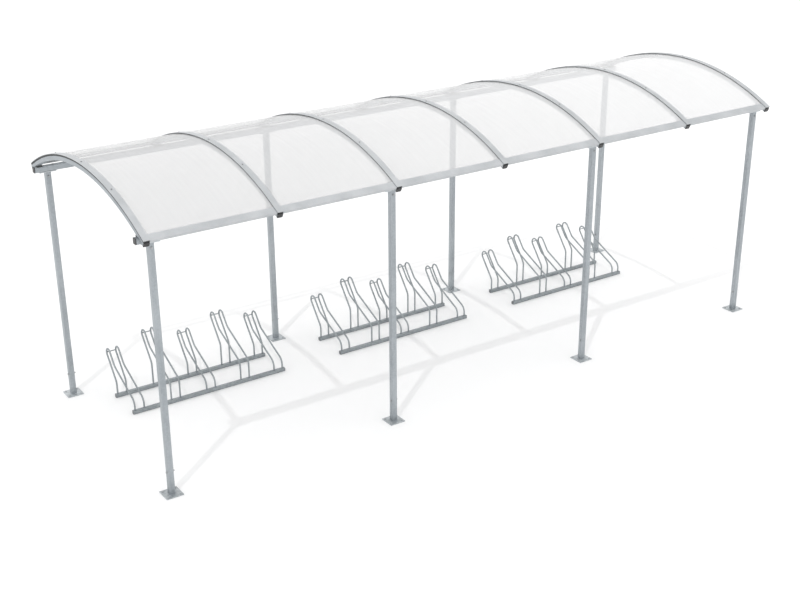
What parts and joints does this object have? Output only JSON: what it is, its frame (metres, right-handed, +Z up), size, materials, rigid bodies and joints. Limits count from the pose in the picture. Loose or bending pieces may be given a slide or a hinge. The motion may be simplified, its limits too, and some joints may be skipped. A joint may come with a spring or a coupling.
{
  "type": "bike shelter",
  "caption": "Free-standing bike shelter with an arched clear roof on square steel posts, and two-level wheel racks under it.",
  "frame": {"origin": "centre of the footprint, on the ground", "axes": "+X along the shelter from left to right, -Y the open front, +Z up"},
  "size_m": [6.818, 2.4066, 2.538],
  "materials": {
    "galvanised_steel": "hot-dip galvanised, satin, faint spangle",
    "clamp_aluminium": "mill-finish extruded aluminium, satin",
    "rack_steel": "galvanised, a darker satin grey",
    "clear_sheet": "clear polycarbonate, glossy, faintly milky",
    "black_plastic": "moulded black plastic, matte",
    "rubber_gasket": "dark grey rubber"
  },
  "bodies": {
    "root": {"post_front_1": "galvanised_steel", "post_front_2": "galvanised_steel", "post_front_3": "galvanised_steel", "post_front_4": "galvanised_steel", "post_rear_1": "galvanised_steel", "post_rear_2": "galvanised_steel", "post_rear_3": "galvanised_steel", "post_rear_4": "galvanised_steel", "front_base_plates": "galvanised_steel", "rear_base_plates": "galvanised_steel", "front_head_plates": "galvanised_steel", "rear_head_plates": "galvanised_steel", "front_beam": "galvanised_steel", "rear_beam": "galvanised_steel", "beam_end_caps": "black_plastic", "front_rib_pads": "black_plastic", "rear_rib_pads": "black_plastic", "rib_1": "galvanised_steel", "rib_2": "galvanised_steel", "rib_3": "galvanised_steel", "rib_4": "galvanised_steel", "rib_5": "galvanised_steel", "rib_6": "galvanised_steel", "rib_7": "galvanised_steel", "front_rib_caps": "black_plastic", "rear_rib_caps": "black_plastic", "rib_gaskets": "rubber_gasket", "clamp_strips": "clamp_aluminium", "roof_sheet_1": "clear_sheet", "roof_sheet_2": "clear_sheet", "roof_sheet_3": "clear_sheet", "roof_sheet_4": "clear_sheet", "roof_sheet_5": "clear_sheet", "roof_sheet_6": "clear_sheet", "front_eave_trim": "clamp_aluminium", "rear_eave_trim": "clamp_aluminium", "rack_1_rails": "rack_steel", "rack_1_low_holders": "rack_steel", "rack_1_high_holders": "rack_steel", "rack_2_rails": "rack_steel", "rack_2_low_holders": "rack_steel", "rack_2_high_holders": "rack_steel", "rack_3_rails": "rack_steel", "rack_3_low_holders": "rack_steel", "rack_3_high_holders": "rack_steel"}
  },
  "joints": []
}
